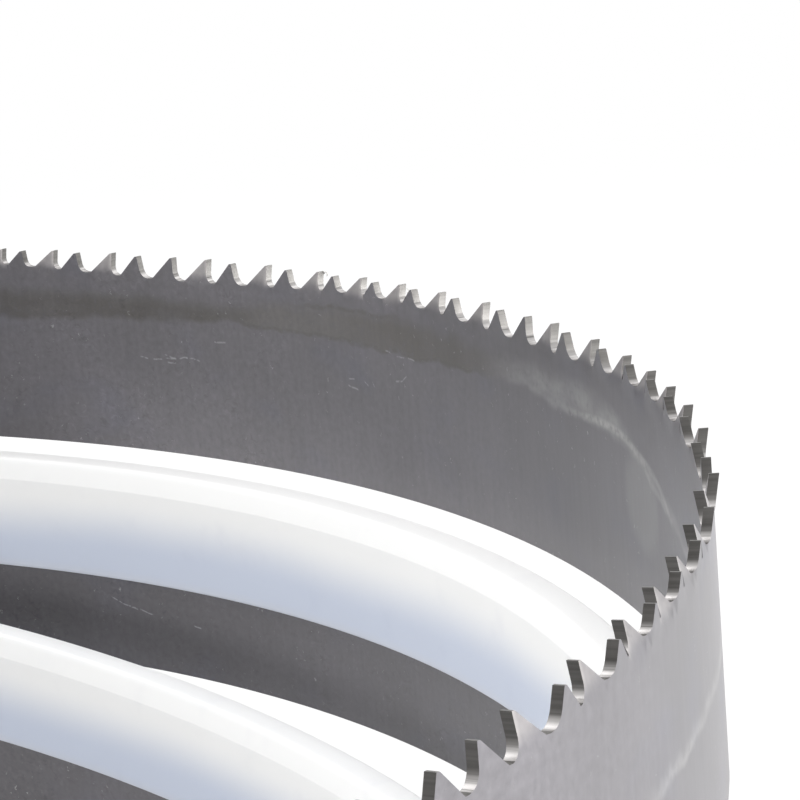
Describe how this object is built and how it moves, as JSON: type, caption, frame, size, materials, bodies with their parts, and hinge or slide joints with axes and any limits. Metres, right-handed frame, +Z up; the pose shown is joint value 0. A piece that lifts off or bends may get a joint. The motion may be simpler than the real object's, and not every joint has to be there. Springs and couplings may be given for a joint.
{
  "type": "band saw blade",
  "caption": "Endless toothed steel band for a band saw, coiled in stacked loops with its teeth up; the top loop is bare and the lower loops wear clip-on plastic tooth guards.",
  "frame": {"origin": "under the centre of the coil's top loop, on the surface that the lowest back edge stands on", "axes": "+Z up along the coil's axis, the way the teeth point; the picture looks from -Y towards +Y, turned to the right"},
  "size_m": [0.3784, 0.3783, 0.0862],
  "materials": {
    "blade_steel": "dark grey rolled steel, dull, with brighter ground teeth",
    "guard_plastic": "white extruded plastic, satin"
  },
  "bodies": {
    "root": {"blade": "blade_steel", "lower_loop_guard": "guard_plastic", "middle_loop_guard": "guard_plastic"}
  },
  "joints": []
}
